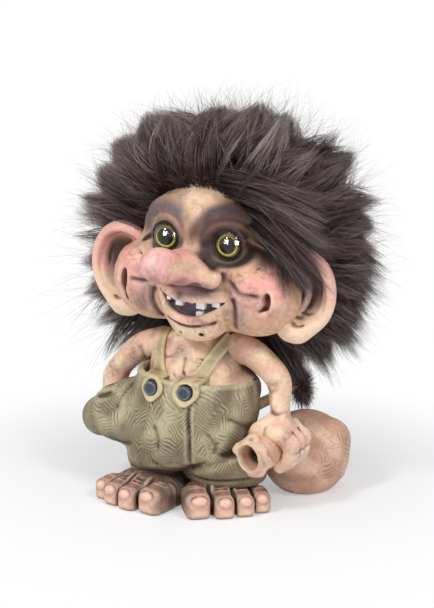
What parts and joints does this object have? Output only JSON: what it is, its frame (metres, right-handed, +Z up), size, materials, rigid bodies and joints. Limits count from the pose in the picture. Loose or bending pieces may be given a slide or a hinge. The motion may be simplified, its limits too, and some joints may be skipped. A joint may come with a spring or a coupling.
{
  "type": "norwegian troll figure",
  "caption": "Folk troll ornament: a grinning long-nosed figure in braced trousers with wild brown fur hair, glass eyes and a sack in its left hand.",
  "frame": {"origin": "floor point under the middle of the whole figure's outline, hair included", "axes": "+Z up from the floor, -Y the way the figure faces, +X to the figure's own left"},
  "size_m": [0.1357, 0.1059, 0.1491],
  "materials": {
    "painted_skin": "hand painted, matt, dark wash in the creases",
    "painted_overalls": "hand painted, matt, carved strokes",
    "painted_sack": "hand painted, matt, carved strokes",
    "painted_button": "painted, slight gloss",
    "painted_teeth": "painted, slight gloss",
    "clear_glass": "polished clear glass",
    "amber_glass": "amber back paint under the glass",
    "black_glass": "black back paint under the glass",
    "brown_fur": "long pile dark brown fur with paler tips",
    "backing_cloth": "woven backing of the fur"
  },
  "bodies": {
    "root": {"head": "painted_skin", "left_ear": "painted_skin", "right_ear": "painted_skin", "torso": "painted_skin", "left_arm": "painted_skin", "right_arm": "painted_skin", "left_foot": "painted_skin", "right_foot": "painted_skin", "tail": "painted_skin", "trousers": "painted_overalls", "left_strap": "painted_overalls", "right_strap": "painted_overalls", "sack": "painted_sack", "left_button": "painted_button", "right_button": "painted_button", "upper_teeth": "painted_teeth", "lower_tooth": "painted_teeth", "left_glass_eye": "clear_glass", "right_glass_eye": "clear_glass", "left_iris": "amber_glass", "right_iris": "amber_glass", "left_pupil": "black_glass", "right_pupil": "black_glass", "wig_fur": "brown_fur", "tail_tuft": "brown_fur", "wig_backing": "backing_cloth"}
  },
  "joints": []
}
